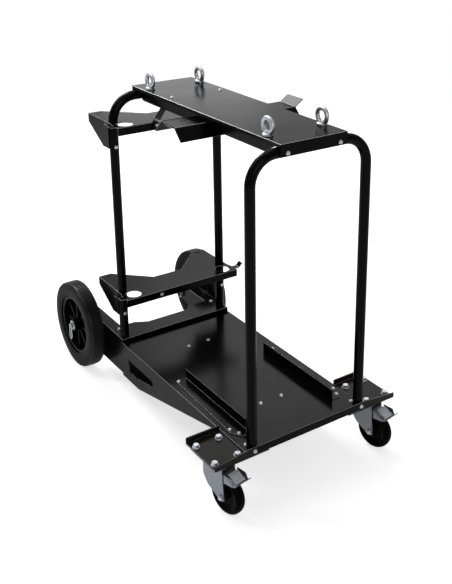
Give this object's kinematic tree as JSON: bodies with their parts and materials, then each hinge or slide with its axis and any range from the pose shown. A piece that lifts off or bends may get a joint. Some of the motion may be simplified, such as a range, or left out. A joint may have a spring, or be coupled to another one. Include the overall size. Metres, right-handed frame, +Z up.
{
  "type": "welding cart",
  "caption": "Wheeled cart for a welding machine with a flat deck, bent tube hoops, a top plate with lifting eyes, gas bottle brackets at the rear, swivel casters and large rear wheels.",
  "frame": {"origin": "middle of the footprint box, on the floor", "axes": "+Z up, -Y is the end with the swivel casters, +X to the right of a person facing +Y"},
  "size_m": [0.54, 1.0284, 0.928],
  "materials": {
    "satin_black_coat": "satin black powder coat",
    "gloss_black_coat": "smooth glossier black coat on the tubes",
    "wing_black_coat": "satin black coat, slightly warm",
    "bright_zinc": "bright zinc plate",
    "blue_zinc": "bluish zinc plate",
    "rubber": "matt black solid rubber",
    "hub_plastic": "black moulded plastic"
  },
  "bodies": {
    "chassis": {"bottle_platform": "satin_black_coat", "cable_hanger": "satin_black_coat", "deck_tray": "satin_black_coat", "eye_bolt_front_left": "bright_zinc", "eye_bolt_front_right": "bright_zinc", "eye_bolt_rear_left": "bright_zinc", "eye_bolt_rear_right": "bright_zinc", "front_hoop": "gloss_black_coat", "left_axle_washer": "bright_zinc", "left_bracket_strut": "satin_black_coat", "left_caster_bolt_front_left": "bright_zinc", "left_caster_bolt_front_right": "bright_zinc", "left_caster_bolt_rear_left": "bright_zinc", "left_caster_bolt_rear_right": "bright_zinc", "left_caster_plate": "blue_zinc", "left_caster_wing": "wing_black_coat", "left_front_top_screw": "bright_zinc", "left_guide_rail": "satin_black_coat", "left_lip_screw": "bright_zinc", "left_lower_bracket_screw": "bright_zinc", "left_rear_top_screw": "bright_zinc", "left_spring_clip": "bright_zinc", "left_stub_axle": "bright_zinc", "left_upper_bracket_screw": "bright_zinc", "lower_bottle_bracket": "satin_black_coat", "rear_hoop": "gloss_black_coat", "right_axle_washer": "bright_zinc", "right_bracket_strut": "satin_black_coat", "right_caster_bolt_front_left": "bright_zinc", "right_caster_bolt_front_right": "bright_zinc", "right_caster_bolt_rear_left": "bright_zinc", "right_caster_bolt_rear_right": "bright_zinc", "right_caster_plate": "blue_zinc", "right_caster_wing": "wing_black_coat", "right_front_top_screw": "bright_zinc", "right_guide_rail": "satin_black_coat", "right_lip_screw": "bright_zinc", "right_lower_bracket_screw": "bright_zinc", "right_rear_top_screw": "bright_zinc", "right_spring_clip": "bright_zinc", "right_stub_axle": "bright_zinc", "right_upper_bracket_screw": "bright_zinc", "top_plate": "satin_black_coat", "upper_bottle_bracket": "satin_black_coat"},
    "left_rear_wheel": {"left_rear_tyre": "rubber", "left_rear_hub": "hub_plastic"},
    "left_caster_swivel": {"left_caster_fork": "blue_zinc", "left_caster_axle": "bright_zinc"},
    "left_caster_wheel": {"left_caster_tyre": "rubber", "left_caster_hub": "hub_plastic"},
    "left_caster_brake": {"left_brake_pedal": "blue_zinc"},
    "right_rear_wheel": {"right_rear_tyre": "rubber", "right_rear_hub": "hub_plastic"},
    "right_caster_swivel": {"right_caster_fork": "blue_zinc", "right_caster_axle": "bright_zinc"},
    "right_caster_wheel": {"right_caster_tyre": "rubber", "right_caster_hub": "hub_plastic"},
    "right_caster_brake": {"right_brake_pedal": "blue_zinc"}
  },
  "joints": [
    {"name": "left_rear_wheel_spin", "type": "hinge", "parent": "chassis", "child": "left_rear_wheel", "pos_m": [-0.21, 0.38423, 0.13], "axis": [1, 0, 0], "continuous": true},
    {"name": "left_caster_swivel_turn", "type": "hinge", "parent": "chassis", "child": "left_caster_swivel", "pos_m": [-0.227, -0.41807, 0.1305], "axis": [0, 0, 1], "continuous": true},
    {"name": "left_caster_wheel_spin", "type": "hinge", "parent": "left_caster_swivel", "child": "left_caster_wheel", "pos_m": [-0.22106, -0.4556, 0.05], "axis": [0.9877, 0.1564, 0], "continuous": true},
    {"name": "left_brake_pedal_press", "type": "hinge", "parent": "left_caster_swivel", "child": "left_caster_brake", "pos_m": [-0.22418, -0.43585, 0.1145], "axis": [0.9877, 0.1564, 0], "range_deg": [0, 8]},
    {"name": "right_rear_wheel_spin", "type": "hinge", "parent": "chassis", "child": "right_rear_wheel", "pos_m": [0.21, 0.38423, 0.13], "axis": [1, 0, 0], "continuous": true},
    {"name": "right_caster_swivel_turn", "type": "hinge", "parent": "chassis", "child": "right_caster_swivel", "pos_m": [0.227, -0.41807, 0.1305], "axis": [0, 0, 1], "continuous": true},
    {"name": "right_caster_wheel_spin", "type": "hinge", "parent": "right_caster_swivel", "child": "right_caster_wheel", "pos_m": [0.23295, -0.4556, 0.05], "axis": [0.9877, 0.1564, 0], "continuous": true},
    {"name": "right_brake_pedal_press", "type": "hinge", "parent": "right_caster_swivel", "child": "right_caster_brake", "pos_m": [0.22982, -0.43585, 0.1145], "axis": [0.9877, 0.1564, 0], "range_deg": [0, 8]}
  ]
}
